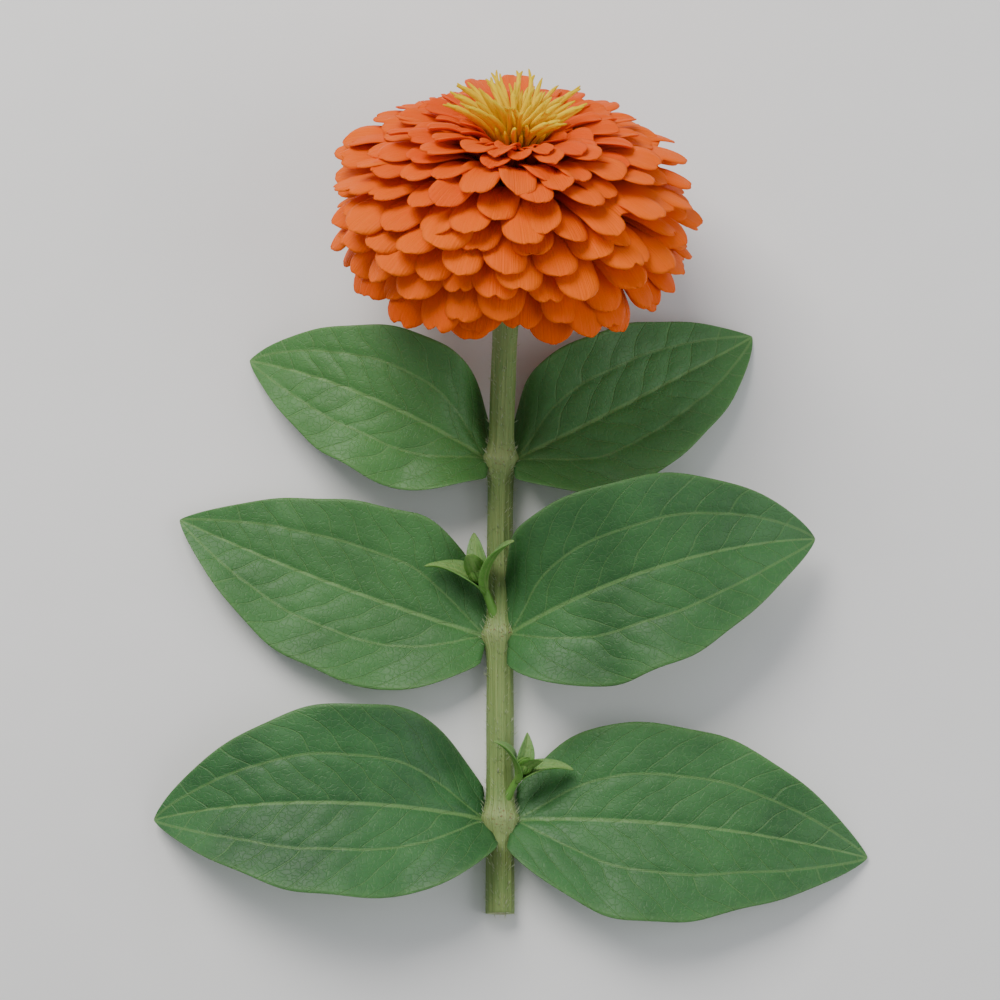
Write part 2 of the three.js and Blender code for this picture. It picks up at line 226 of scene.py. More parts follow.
def stem_radius(s):
    slim = lerp(STEM_RADIUS * 1.06, STEM_RADIUS * 0.92, s / STEM_LENGTH)
    return slim + 1.3 * bump(s - STEM_LENGTH, 9) + 1.1 * knots(s, 3)


def tube(path, side, up, radii, sides):
    """The form of a closed tube: vertices, faces, UV and marks. side x up points back along its path."""
    angle = np.arange(sides) * 2 * math.pi / sides
    radii = np.broadcast_to(radii, (len(path), sides))
    side, up = np.broadcast_to(side, path.shape), np.broadcast_to(up, path.shape)
    rings = (
        path[:, None]
        + side[:, None] * (radii * np.cos(angle))[..., None]
        + up[:, None] * (radii * np.sin(angle))[..., None]
    )
    length = np.concatenate([[0], np.cumsum(np.linalg.norm(np.diff(path, axis=0), axis=1))])
    uv = np.stack(np.broadcast_arrays(np.abs(angle / math.pi - 1), length[:, None]), -1)
    faces = []
    for r in range(len(path) - 1):
        for c in range(sides):
            d = (c + 1) % sides
            faces.append((r * sides + c, (r + 1) * sides + c, (r + 1) * sides + d, r * sides + d))
    faces.append(tuple(range(sides)))
    faces.append(tuple(reversed(range((len(path) - 1) * sides, len(path) * sides))))
    return rings.reshape(-1, 3), faces, uv.reshape(-1, 2), {}


def mesh_piece(name, form, finish=None):
    """A form as an object in its place, with a UV map and its marks as attributes."""
    vertices, faces, uv, marks = form
    mesh = bpy.data.meshes.new(name)
    mesh.from_pydata((vertices * MM).tolist(), [], faces)
    mesh.shade_smooth()
    corners = np.zeros(len(mesh.loops), np.int32)
    mesh.loops.foreach_get("vertex_index", corners)
    mesh.uv_layers.new(name="UVMap").data.foreach_set("uv", uv.astype(np.float32)[corners].ravel())
    for mark, values in marks.items():
        kind, key = ("FLOAT_VECTOR", "vector") if values.ndim == 2 else ("FLOAT", "value")
        mesh.attributes.new(mark, kind, "POINT").data.foreach_set(key, values.astype(np.float32).ravel())
    if finish:
        mesh.materials.append(finish)
    return in_scene(name, mesh)


between_ends = np.stack([np.linspace(0.05, STEM_LENGTH - 0.1, STEM_RINGS), np.ones(STEM_RINGS)], -1)
stem_s, stem_share = np.concatenate([CUT_RINGS, between_ends, NECK_RINGS]).T
stem_angle = np.arange(STEM_SIDES) * 2 * math.pi / STEM_SIDES
ridge_heights = RIDGE_HEIGHT * (1 - 0.7 * bump(stem_s - STEM_LENGTH, 12))
stem_ridges = np.outer(ridge_heights, np.cos(STEM_RIDGES * stem_angle))
stem_lumps = 0.06 * np.outer(np.sin(stem_s * 0.31), np.cos(2 * stem_angle + 1))
stem_radii = (stem_radius(stem_s) + 0.2 * knots(stem_s - 0.6, 0.8))[:, None] + stem_ridges + stem_lumps
_, _, stem_side, stem_up = stem_frame(stem_s)
stem_form = tube(stem_line(stem_s), stem_side, stem_up, stem_radii * stem_share[:, None], STEM_SIDES)
stem_form[0][:, 2] = np.maximum(stem_form[0][:, 2], 0)
stem_ring = np.arange(len(stem_s))
for mark, values in (
    ("knot", knots(stem_s, 3.4)),
    ("cut", stem_ring < len(CUT_RINGS)),
    ("pith", stem_ring < PITH_RINGS),
):
    stem_form[3][mark] = np.repeat(values, STEM_SIDES)


def vector_maths(tree, operation, *values):
    return add(tree, "ShaderNodeVectorMath", dict(enumerate(values)), operation=operation).outputs[0]


def vector_of(tree, x, y, z):
    return add(tree, "ShaderNodeCombineXYZ", {0: x, 1: y, 2: z}).outputs[0]


def stepped(tree, value, low, high):
    """0 below low and 1 above high, with a smooth step between. It falls where high is below low."""
    inputs = {"Value": value, "From Min": low, "From Max": high}
    return add(tree, "ShaderNodeMapRange", inputs, interpolation_type="SMOOTHSTEP").outputs["Result"]


def contrasted(tree, value, spread):
    """Noise drawn out to run from 0 to 1 within the spread on either side of its middle."""
    low = maths(tree, "SUBTRACT", 0.5, spread)
    high = maths(tree, "ADD", 0.5, spread)
    return stepped(tree, value, low, high)


def shader_group(name, inputs, outputs):
    """An empty group of shader nodes, with the starting values of its named inputs and with named outputs."""
    group = bpy.data.node_groups.new(name, "ShaderNodeTree")
    for socket, value in inputs.items():
        kind = "NodeSocketVector" if isinstance(value, tuple) else "NodeSocketFloat"
        group.interface.new_socket(socket, in_out="INPUT", socket_type=kind).default_value = value
    for socket in outputs:
        group.interface.new_socket(socket, in_out="OUTPUT", socket_type="NodeSocketFloat")
    return group, group.nodes.new("NodeGroupInput").outputs, group.nodes.new("NodeGroupOutput").inputs


# Fine streaks that run along a piece: Vector is across and along it.
streaks, taken, given = shader_group(
    "lengthwise_streaks", {"Vector": (0, 0, 0), "Across": 20, "Along": 1, "Contrast": 0.2}, ["Streak"]
)
stretch = vector_of(streaks, taken["Across"], taken["Along"], 1)
thread = noise(streaks, vector_maths(streaks, "MULTIPLY", taken["Vector"], stretch), 1, 3)
streaks.links.new(contrasted(streaks, thread, taken["Contrast"]), given["Streak"])

# Soft uneven patches, as wherever a plant grew unevenly: Vector is a place on the piece.
patches, taken, given = shader_group(
    "grown_patches", {"Vector": (0, 0, 0), "Scale": 100, "Contrast": 0.2}, ["Patch"]
)
cloud = noise(patches, taken["Vector"], taken["Scale"], 4)
patches.links.new(contrasted(patches, cloud, taken["Contrast"]), given["Patch"])


def effect(tree, group, **inputs):
    """A group placed in a material, with its own values."""
    return add(tree, "ShaderNodeGroup", inputs, node_tree=group).outputs


def uv_on(tree):
    return add(tree, "ShaderNodeUVMap", uv_map="UVMap").outputs["UV"]


def streaks_on(tree, across, along, contrast):
    return effect(tree, streaks, Vector=uv_on(tree), Across=across, Along=along, Contrast=contrast)["Streak"]


def patches_on(tree, scale, contrast):
    return effect(tree, patches, Vector=place_on(tree), Scale=scale, Contrast=contrast)["Patch"]


def mark_of(tree, name, kind="Fac"):
    return add(tree, "ShaderNodeAttribute", attribute_name=name).outputs[kind]


def raised(tree, shader, height, distance):
    """Height as fine relief, distance metres deep."""
    relief = add(tree, "ShaderNodeBump", {"Height": height, "Distance": distance, "Strength": 1.0})
    tree.links.new(relief.outputs["Normal"], shader.inputs["Normal"])


stem_skin, tree, shader = finish_of("stem_skin", 0.55, 0.08)
ribs = streaks_on(tree, 34, 0.05, 0.22)
specks = stepped(tree, noise(tree, place_on(tree), 1500, 2), 0.62, 0.7)
knot = mark_of(tree, "knot")
coloured(tree, shader, (0.13, 0.23, 0.052), [
    (ribs, 1, (0.23, 0.34, 0.095)),
    (patches_on(tree, 120, 0.22), 0.35, (0.3, 0.36, 0.12)),
    (knot, 0.6, (0.34, 0.42, 0.16)),
    (specks, knot, (0.2, 0.1, 0.045)),
    (mark_of(tree, "cut"), 1, (0.4, 0.5, 0.22)),
    (mark_of(tree, "pith"), 1, (0.5, 0.48, 0.3)),
])
raised(tree, shader, maths(tree, "MULTIPLY_ADD", specks, 0.4, ribs), 0.00012)

stem = mesh_piece("flower_stem", stem_form, stem_skin)
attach(stem, "root")
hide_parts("stem")

# ---------------- stem hairs
# Short stiff pale hairs that stand off the stem and lean towards the bloom, thickest at the nodes.
# They grow only where the stem doesn't touch the table.

HAIRS_PER_METRE2 = 420000.0
HAIR_LENGTH = 1.2
HAIR_LEAN = 0.55
# one hair of length 1: the points of its middle, and its radius at each
HAIR_LINE = np.array([[0.0, 0.0, 0.0], [0.0, 0.06, 0.5], [0.0, 0.2, 1.0]])
HAIR_RADII = np.array([[0.055], [0.036], [0.008]])
HAIR_SIDES = 4


def axes_of(tree, vector):
    return add(tree, "ShaderNodeSeparateXYZ", {0: vector}).outputs


def geometry_tree(name, **inputs):
    """An empty tree of geometry nodes with named inputs, its input sockets and its output."""
    tree = bpy.data.node_groups.new(name, "GeometryNodeTree")
    for socket, kind in {"Geometry": "Geometry", **inputs, "Seed": "Int", "Material": "Material"}.items():
        tree.interface.new_socket(socket.replace("_", " "), in_out="INPUT", socket_type="NodeSocket" + kind)
    tree.interface.new_socket("Geometry", in_out="OUTPUT", socket_type="NodeSocketGeometry")
    return tree, tree.nodes.new("NodeGroupInput").outputs, tree.nodes.new("NodeGroupOutput").inputs[0]


def drawn(tree, least, most, seed):
    """A number drawn for each part."""
    inputs = {2: least, 3: most, "Seed": seed}
    return add(tree, "FunctionNodeRandomValue", inputs, data_type="FLOAT").outputs[1]


def grown(name, carrier, tree, **values):
    """The plain mesh that a geometry tree makes on a carrier mesh, as an object of its own."""
    holder = in_scene(name + "_carrier", carrier)
    modifier = holder.modifiers.new(name, "NODES")
    modifier.node_group = tree
    known = {socket.name: socket.identifier for socket in tree.interface.items_tree}
    for socket, value in values.items():
        modifier[known[socket.replace("_", " ")]] = value
    graph = bpy.context.evaluated_depsgraph_get()
    mesh = bpy.data.meshes.new_from_object(holder.evaluated_get(graph), depsgraph=graph)
    bpy.data.objects.remove(holder)
    mesh.name = name
    return in_scene(name, mesh)


hair_pale, tree, shader = finish_of("hair_pale", 0.5)
coloured(tree, shader, (0.46, 0.52, 0.3), [(patches_on(tree, 700, 0.2), 1, (0.66, 0.68, 0.5))])

fur, taken, given = geometry_tree(
    "hairs_on_a_stem", Hair="Object", Density="Float", Length="Float", Lean="Float"
)
upward = axes_of(fur, add(fur, "GeometryNodeInputNormal").outputs["Normal"])["Z"]
clear = add(fur, "FunctionNodeCompare", {0: upward, 1: -0.35}, operation="GREATER_THAN").outputs[0]
knot = add(fur, "GeometryNodeInputNamedAttribute", {"Name": "knot"}, data_type="FLOAT").outputs["Attribute"]
density = times(fur, maths(fur, "MULTIPLY_ADD", knot, 1.6, 1.0), taken["Density"])
scattered = add(
    fur,
    "GeometryNodeDistributePointsOnFaces",
    {"Mesh": taken["Geometry"], "Selection": clear, "Density": density, "Seed": taken["Seed"]},
).outputs
lean = vector_maths(fur, "ADD", scattered["Normal"], vector_of(fur, 0, taken["Lean"], 0))
stand = add(fur, "FunctionNodeAlignRotationToVector", {"Vector": lean}, axis="Z").outputs["Rotation"]
hair = add(fur, "GeometryNodeObjectInfo", {"Object": taken["Hair"]}).outputs["Geometry"]
length = times(fur, drawn(fur, 0.5, 1.25, taken["Seed"]), taken["Length"])
hairs = add(
    fur,
    "GeometryNodeInstanceOnPoints",
    {"Points": scattered["Points"], "Instance": hair, "Rotation": stand, "Scale": length},
).outputs[0]
hairs = add(fur, "GeometryNodeRealizeInstances", {"Geometry": hairs}).outputs[0]
hairs = add(fur, "GeometryNodeSetMaterial", {"Geometry": hairs, "Material": taken["Material"]}).outputs[0]
fur.links.new(hairs, given)

hair_form = mesh_piece("hair_form", tube(HAIR_LINE, (0, 1, 0), (1, 0, 0), HAIR_RADII, HAIR_SIDES))
stem_hairs = grown(
    "stem_hairs",
    stem.data.copy(),
    fur,
    Hair=hair_form,
    Density=HAIRS_PER_METRE2,
    Length=HAIR_LENGTH,
    Lean=HAIR_LEAN,
    Seed=4,
    Material=hair_pale,
)
bpy.data.objects.remove(hair_form)
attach(stem_hairs, "root")

# ---------------- involucre
# The green cup under the petals: rounded papery bracts that overlap like tiles in rows, each with a thin
# dark margin at its tip, grown together at the neck of the stem.

INVOLUCRE_HEIGHT = 12
CUP_SIDES = 40
# for each row: how many bracts, the heights of foot and tip, and the width
BRACT_ROWS = ((9, 0.9, 6.0, 6.4), (9, 2.6, 8.6, 7.6), (10, 4.4, 11.0, 8.6), (11, 6.0, 12.5, 9.0))
BRACT_THICKNESS = 0.5
BRACT_LIFT = 0.5
# a blade's grid: columns, rows, and how much closer together the rows stand towards its tip
BRACT_GRID = (8, 9, 1.5)
THIN_EDGE = 0.6
SPIRAL_TURN = math.pi * (3 - math.sqrt(5))
# what the table presses up: how far over it the lowest parts lie, and how softly they are bent there
LOWEST = 0.4
SOFTNESS = 1.2

neck_point, neck_way = (Vector(found) for found in stem_frame(STEM_LENGTH)[:2])
bloom_turn = Vector((0, 0, 1)).rotation_difference(neck_way)


def smoothstep(x, low, high):
    t = np.clip((x - low) / (high - low), 0, 1)
    return t * t * (3 - 2 * t)


def blade_places(grid):
    """The places of a blade's grid: u from -1 to 1 across and v from 0 to 1 along."""
    cols, rows, tip_power = grid
    return np.meshgrid(np.linspace(-1, 1, cols + 1), 1 - (1 - np.linspace(0, 1, rows + 1)) ** tip_power)


def blade(surface, thickness, grid):
    """The form of a closed sheet round surface(u, v)."""
    u, v = blade_places(grid)
    cols, rows, _ = grid
    middle = surface(u, v)
    normal = unit(np.cross(np.gradient(middle, axis=1), np.gradient(middle, axis=0)))
    edge = np.maximum(np.abs(u) ** 8, smoothstep(v, 0.93, 1.0) ** 2)
    half = (thickness / 2 * (1 - THIN_EDGE * edge))[..., None]
    vertices = np.stack([middle + normal * half, middle - normal * half]).reshape(-1, 3)
    count = (cols + 1) * (rows + 1)
    faces = []
    for r in range(rows):
        for c in range(cols):
            a, b = r * (cols + 1) + c, (r + 1) * (cols + 1) + c
            faces.append((a, a + 1, b + 1, b))
            faces.append((count + a, count + b, count + b + 1, count + a + 1))
    rim = list(range(cols))
    rim += [r * (cols + 1) + cols for r in range(rows)]
    rim += [rows * (cols + 1) + c for c in range(cols, 0, -1)]
    rim += [r * (cols + 1) for r in range(rows, 0, -1)]
    for a, b in zip(rim, rim[1:] + rim[:1]):
        faces.append((b, a, count + a, count + b))
    uv = np.tile(np.stack([(u + 1) / 2, v], -1).reshape(-1, 2), (2, 1))
    return vertices, faces, uv, {"underside": np.repeat([0.0, 1.0], count)}


def cup_radius(z):
    return 3.7 + 7.4 * np.sqrt(np.clip(z / INVOLUCRE_HEIGHT, 0, 1))


def bract_surface(low, high, width, seed):
    wave = np.random.default_rng(seed).uniform(-1, 1)

    def surface(u, v):
        round_tip = np.sqrt(np.clip(1 - np.clip((v - 0.3) / 0.702, 0, 1) ** 2.6, 0, 1))
        half = width / 2 * (0.75 + 0.25 * smoothstep(v, 0, 0.4)) * round_tip
        z = lerp(low, high, v) - 0.5 * u * u * v
        r = cup_radius(z) + 0.1 + BRACT_LIFT * v * v + 0.12 * np.sin(5 * v + 2 * u + wave) * v
        angle = half * u / np.maximum(r, 3)
        return np.stack([r * np.cos(angle), r * np.sin(angle), z], -1)

    return surface


bract_green, tree, shader = finish_of("bract_green", 0.5, 0.05)
uv = axes_of(tree, uv_on(tree))
along = uv["Y"]
off_middle = maths(tree, "ABSOLUTE", maths(tree, "SUBTRACT", uv["X"], 0.5))
ribs = streaks_on(tree, 18, 1.2, 0.2)
sides = times(tree, stepped(tree, off_middle, 0.44, 0.49), stepped(tree, along, 0.45, 0.8))
margin = maths(tree, "MAXIMUM", stepped(tree, along, 0.9, 0.97), sides)
coloured(tree, shader, (0.1, 0.21, 0.045), [
    (ribs, 1, (0.19, 0.33, 0.08)),
    (stepped(tree, along, 0.35, 0.0), 1, (0.28, 0.4, 0.13)),
    (margin, 0.85, (0.07, 0.035, 0.02)),
])
raised(tree, shader, ribs, 0.00015)

# The tree that grows a bloom's parts: each form stands ready beside the axis and is turned round it by one
# step more than the one before, with small differences in turn, tilt and size. Then all take their place on
# the neck, and what would go through the table is pressed up to it.
spiral, taken, given = geometry_tree(
    "grown_round_the_axis",
    Forms="Collection",
    Count="Int",
    Turn="Float",
    Start="Float",
    Loose_Turn="Float",
    Loose_Tilt="Float",
    Loose_Size="Float",
    Place="Vector",
    Rotation="Vector",
    Lowest="Float",
    Softness="Float",
)


def stray(amount, seed):
    """A draw from -amount to amount for each part."""
    least = times(spiral, amount, -1)
    return drawn(spiral, least, amount, maths(spiral, "ADD", taken["Seed"], seed))


number = add(spiral, "GeometryNodeInputIndex").outputs[0]
turned = maths(spiral, "MULTIPLY_ADD", number, taken["Turn"], taken["Start"])
turned = maths(spiral, "ADD", turned, stray(taken["Loose Turn"], 1))
forms = add(
    spiral,
    "GeometryNodeCollectionInfo",
    {"Collection": taken["Forms"], "Separate Children": True, "Reset Children": True},
)
parts = add(
    spiral,
    "GeometryNodeInstanceOnPoints",
    {
        "Points": add(spiral, "GeometryNodePoints", {"Count": taken["Count"]}).outputs[0],
        "Instance": forms.outputs[0],
        "Pick Instance": True,
        "Instance Index": number,
        "Rotation": vector_of(spiral, stray(taken["Loose Tilt"], 2), stray(taken["Loose Tilt"], 3), turned),
        "Scale": maths(spiral, "ADD", 1.0, stray(taken["Loose Size"], 4)),
    },
).outputs[0]
for mark, value in (
    ("tone", drawn(spiral, 0.0, 1.0, taken["Seed"])),
    ("order", maths(spiral, "DIVIDE", number, taken["Count"])),
):
    stored = {"Geometry": parts, "Name": mark, "Value": value}
    node = add(spiral, "GeometryNodeStoreNamedAttribute", stored, data_type="FLOAT", domain="INSTANCE")
    parts = node.outputs[0]
where = axes_of(spiral, add(spiral, "GeometryNodeInputPosition").outputs[0])
kept_up = maths(spiral, "SMOOTH_MAX", where["Z"], taken["Lowest"], taken["Softness"])
pressed = vector_of(spiral, where["X"], where["Y"], kept_up)
for kind, inputs in (
    ("GeometryNodeRealizeInstances", {}),
    ("GeometryNodeTransform", {"Translation": taken["Place"], "Rotation": taken["Rotation"]}),
    ("GeometryNodeSetPosition", {"Position": pressed}),
    ("GeometryNodeSetMaterial", {"Material": taken["Material"]}),
):
    parts = add(spiral, kind, {"Geometry": parts, **inputs}).outputs[0]
spiral.links.new(parts, given)


def grow_round(name, forms, material, seed, turn=SPIRAL_TURN, start=0.0, loose=(0.0, 0.0, 0.0)):
    """Parts grown round the bloom's axis, as one piece on the neck. loose is in turn, tilt and size."""
    box = bpy.data.collections.new(name + "_forms")
    bpy.context.scene.collection.children.link(box)
    for number, form in enumerate(forms):
        ready = mesh_piece(f"{name}_form_{number:03d}", form)
        bpy.context.scene.collection.objects.unlink(ready)
        box.objects.link(ready)
    piece = grown(
        name,
        bpy.data.meshes.new(name + "_seed"),
        spiral,
        Forms=box,
        Count=len(forms),
        Turn=turn,
        Start=start,
        Loose_Turn=loose[0],
        Loose_Tilt=loose[1],
        Loose_Size=loose[2],
        Seed=seed,
        Place=neck_point * MM,
        Rotation=bloom_turn.to_euler(),
        Lowest=LOWEST * MM,
        Softness=SOFTNESS * MM,
        Material=material,
    )
    for ready in list(box.objects):
        bpy.data.objects.remove(ready)
    bpy.data.collections.remove(box)
    return piece


def on_the_neck(form):
    """A form brought from the bloom's own upright frame to the neck."""
    turn = np.array(bloom_turn.to_matrix())
    return form[0] @ turn.T + np.array(neck_point), *form[1:]


def turned_solid(profile, sides, lumps, seed):
    """The form of a solid turned round the axis from [radius, height] pairs, foot first, with small lumps."""
    profile = np.asarray(profile, float)
    draw = np.random.default_rng(seed)
    radii = profile[:, :1] * (1 + lumps * draw.uniform(-1, 1, (len(profile), sides)))
    path = profile[:, 1:] * [0, 0, 1]
    vertices, faces, uv, marks = tube(path, (1, 0, 0), (0, 1, 0), np.maximum(radii, 0.02), sides)
    return vertices, [tuple(reversed(face)) for face in faces], uv, marks


cup_wall = [[cup_radius(z) - 0.5, z] for z in np.linspace(0.3, 11.4, 8)]
cup_form = turned_solid([[0.3, 0.3], *cup_wall, [9.5, 11.9], [0.3, 12]], CUP_SIDES, lumps=0.01, seed=3)
cup = mesh_piece("involucre_cup", on_the_neck(cup_form), bract_green)
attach(cup, "root")

for row, (count, low, high, width) in enumerate(BRACT_ROWS):
    surfaces = [bract_surface(low, high, width, 40 + 5 * row + k) for k in range(count)]
    bracts = grow_round(
        f"bract_row_{row + 1}",
        [blade(surface, BRACT_THICKNESS, BRACT_GRID) for surface in surfaces],
        bract_green,
        seed=60 + row,
        turn=2 * math.pi / count,
        start=0.4 * row,
        loose=(0.06, 0.01, 0.02),
    )
    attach(bracts, "root")
    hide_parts("involucre")

# ---------------- petals
# The ray florets: soft orange straps with round tips, each on its own narrow foot, set in a tight spiral on a
# cone-shaped receptacle. The inner ones stand up short, the outer ones are longer and hang down over the cup.

PETALS = 262
PETAL_THICKNESS = 0.5
PETAL_GRID = (10, 16, 1.7)
# rank from 0 in the middle to 1, radius and height of the root, length, angles from the axis at root and tip,
# width, cup
PETAL_LAYERS = np.array([
    [0, 6.2, 31.6, 9.5, 14, 84, 4.4, 0.4],
    [0.12, 6.8, 29.6, 19, 24, 98, 7, 0.25],
    [0.25, 7.4, 27.4, 25, 35, 103, 8.8, 0.1],
    [0.5, 9, 23, 33, 52, 110, 10.8, -0.12],
    [0.75, 10.4, 18.6, 34.5, 66, 124, 12, -0.22],
    [0.88, 11.2, 16.6, 34, 74, 144, 12.6, -0.25],
    [1, 12, 14.6, 32.5, 80, 166, 12.8, -0.25],
])
# the widths above would close the dome with about 220 petals: with more of them each is this much slimmer
PETAL_SLIMNESS = 0.85


def arc_point(root, length, start, end, v):
    """Radius and height on an arc that leaves its root at one angle from the axis and ends at another."""
    angle = start + (end - start) * v
    reach = length / (end - start)
    r = root[0] + reach * (math.cos(start) - np.cos(angle))
    z = root[1] + reach * (np.sin(angle) - math.sin(start))
    return r, z, angle


def petal_surface(rank, seed):
    draw = np.random.default_rng(seed)
    values = [np.interp(rank, PETAL_LAYERS[:, 0], PETAL_LAYERS[:, k]) for k in range(1, 8)]
    root_radius, root_height, length, start, end, width, cup = values
    length *= 1 + 0.055 * draw.uniform(-1, 1)
    width *= PETAL_SLIMNESS * (1.01 + 0.12 * draw.uniform(-1, 1))
    start, end = math.radians(start), math.radians(end + 6 * draw.uniform(-1, 1))
    cup += 0.07 * draw.uniform(-1, 1)
    notch = max(0.0, draw.uniform(-0.5, 0.7)) * 0.075
    sideways = draw.uniform(-1, 1) * 1.8
    twist = draw.uniform(-1, 1) * 0.28
    phase = draw.uniform(0, 6.28, 4)
    curl = draw.uniform(-0.1, 0.5) * (1 if rank > 0.3 else -0.6)
    blunt = 1.9 + draw.uniform(0, 0.7)
    foot = lerp(0.62, 0.24, smoothstep(rank, 0, 0.3))
    tip_from = 1 - 0.53 * width / length

    def surface(u, v):
        edge = np.clip((v - tip_from) / (1 - tip_from), 0, 1)
        round_tip = np.clip(1 - edge**2.1, 0, 1) ** (1 / blunt)
        half = width / 2 * lerp(foot, 1, smoothstep(v, 0.02, 0.72)) * round_tip
        half = half * (1 + 0.035 * np.sin(8 * v + phase[2]) + 0.05 * np.sin(3 * v + phase[3]) * u)
        half = np.maximum(half, 0.09 * width)
        off_middle = half * u / (width / 2) - 0.06 * sideways
        drop = 0.012 * (1 - u * u) * smoothstep(v, 0.85, 1)
        drop = drop - notch * bump(off_middle, 0.2) * smoothstep(v, 0.86, 1)
        r, z, angle = arc_point((root_radius, root_height), length, start, end, v + drop)
        crease = -0.3 * bump(u, 0.16) + 0.16 * np.cos(3 * math.pi * u) * (1 - u**4)
        waves = 0.14 * np.sin(7 * v + phase[0] + 2 * u) * u + 0.1 * np.sin(15 * v + phase[1]) * u**3
        lift = cup * half * u * u + (crease + waves) * smoothstep(v, 0.25, 0.7)
        lift = lift - 1.2 * curl * smoothstep(v, 0.72, 1) ** 2
        turn = twist * smoothstep(v, 0.3, 1)
        lift = lift + half * u * np.sin(turn)
        y = half * u * np.cos(turn) + sideways * v * v
        return np.stack([r - lift * np.cos(angle), y, z + lift * np.sin(angle)], -1)

    return surface


def with_veins_run_out(form, grid):
    """The same petal, with its veins run out side by side at the round tip and not drawn together there."""
    vertices, faces, uv, marks = form
    cols, rows, _ = grid
    upper = vertices[: (cols + 1) * (rows + 1)].reshape(rows + 1, cols + 1, 3)
    widths = np.linalg.norm(upper[:, -1] - upper[:, 0], axis=1)
    share = np.where(np.arange(rows + 1) > widths.argmax(), widths / widths.max(), 1)
    uv[:, 0] = 0.5 + (uv[:, 0] - 0.5) * np.tile(np.repeat(share, cols + 1), 2)
    return vertices, faces, uv, marks


petal_orange, tree, shader = finish_of(
    "petal_orange", 0.5, 0.1, Subsurface_Radius=(1.0, 0.25, 0.02), Specular_IOR_Level=0.12
)
along = axes_of(tree, uv_on(tree))["Y"]
veins = streaks_on(tree, 26, 1.3, 0.24)
tone = mark_of(tree, "tone")
order = mark_of(tree, "order")
towards_tip = stepped(tree, along, 0.35, 1.0)
opened_tip = times(tree, stepped(tree, order, 0.22, 0.6), towards_tip)
newest = stepped(tree, order, 0.3, 0.05)
# The lowest, outermost rows of petals, which hang down under the bloom, are darker: partly their age and
# partly painted shade.
oldest_and_shaded = stepped(tree, order, 0.76, 1.0)
# The ground is the petal's foot: a dark red that is partly the petal's own deeper colour there and partly
# painted shade, where the feet lie covered by the petals over them.
coloured(tree, shader, (0.58, 0.018, 0.0), [
    (stepped(tree, along, 0.1, 0.62), 1, (0.8, 0.06, 0.0)),
    (towards_tip, 1, (0.88, 0.1, 0.0)),
    (tone, 0.5, (0.92, 0.15, 0.0)),
    (stepped(tree, tone, 0.4, 0.0), 1, (0.83, 0.066, 0.0)),
    (veins, 0.18, (0.78, 0.05, 0.0)),
    (patches_on(tree, 190, 0.25), 0.15, (0.92, 0.16, 0.0)),
    (opened_tip, 0.5, (0.94, 0.19, 0.0)),
    (newest, 0.5, (0.82, 0.06, 0.0)),
    (oldest_and_shaded, 0.45, (0.7, 0.045, 0.0)),
    (mark_of(tree, "underside"), 0.4, (0.86, 0.12, 0.002)),
])
tree.links.new(maths(tree, "MULTIPLY_ADD", veins, 0.12, 0.5), shader.inputs["Roughness"])
grain = noise(tree, place_on(tree), 2600, 2)
raised(tree, shader, maths(tree, "MULTIPLY_ADD", grain, 0.25, veins), 0.00012)

petal_forms = []
for k in range(PETALS):
    share = (k + 0.5) / PETALS
    rank = lerp(share, share**0.8, share)
    petal = blade(petal_surface(rank, 100 + k), PETAL_THICKNESS, PETAL_GRID)
    petal_forms.append(with_veins_run_out(petal, PETAL_GRID))
petals = grow_round("ray_petals", petal_forms, petal_orange, seed=14, loose=(0.05, 0.022, 0.03))
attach(petals, "root")
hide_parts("petals")

# ---------------- receptacle
# The fleshy cone that carries the florets, pale in life, pitted where each one is set. Only its top shows,
# between the florets of the crown, and it is coloured a dark red there as painted shade between them.

RECEPTACLE_FOOT = [[0.3, 12.3], [9.5, 12.35], [11.6, 13.4], [11.4, 16], [10, 19.5]]
RECEPTACLE_CONE = [[8.4, 24], [6.7, 29], [5.6, 32.4], [3.6, 34.3], [0.3, 34.9]]
RECEPTACLE_SIDES = 48


def fine_profile(profile):
    """A profile with four points for each given one, on smooth curves through them."""
    profile = np.asarray(profile, float)
    fine = np.linspace(0, len(profile) - 1, (len(profile) - 1) * 4 + 1)
    slope = np.gradient(profile, axis=0)
    k = np.minimum(fine.astype(int), len(profile) - 2)
    f = (fine - k)[:, None]
    h00, h10 = 2 * f**3 - 3 * f**2 + 1, f**3 - 2 * f**2 + f
    h01, h11 = -2 * f**3 + 3 * f**2, f**3 - f**2
    return h00 * profile[k] + h10 * slope[k] + h01 * profile[k + 1] + h11 * slope[k + 1]


receptacle_painted_shade, tree, shader = finish_of("receptacle_painted_shade", 0.6, 0.1)
pits = add(tree, "ShaderNodeTexVoronoi", {"Vector": place_on(tree), "Scale": 900}).outputs["Distance"]
# a dark red ground, painted shade between the florets, with the pits lighter
coloured(tree, shader, (0.2, 0.02, 0.003), [(stepped(tree, pits, 0.1, 0.5), 1, (0.5, 0.12, 0.01))])
raised(tree, shader, pits, 0.0003)

cone_profile = fine_profile(RECEPTACLE_FOOT + RECEPTACLE_CONE)
cone_form = turned_solid(cone_profile, RECEPTACLE_SIDES, lumps=0.02, seed=8)
receptacle = mesh_piece("receptacle", on_the_neck(cone_form), receptacle_painted_shade)
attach(receptacle, "root")

# ---------------- crown of disc florets
# The yellow heart of the bloom: slim tubular florets whose long forked styles stand up and splay out over the
# petals, with short unopened florets and dark red scales packed between their feet.

FLORETS = 60
FLORET_FLATNESS = 0.7
POINTED_SHARE = 0.7
POINTED_TIP = [0.72, 0.67, 0.57, 0.4, 0.14]
BUDS = 74
BUD_LENGTH = 5.6
BUD_RADII = np.array([0.34, 0.42, 0.48, 0.55, 0.6, 0.48, 0.12])
SCALES = 40
SCALE_LENGTH = 3.8
SCALE_THICKNESS = 0.25
SCALE_GRID = (2, 5, 1.3)
CROWN_FOOT = 33.3
CROWN_RADIUS = 5.6


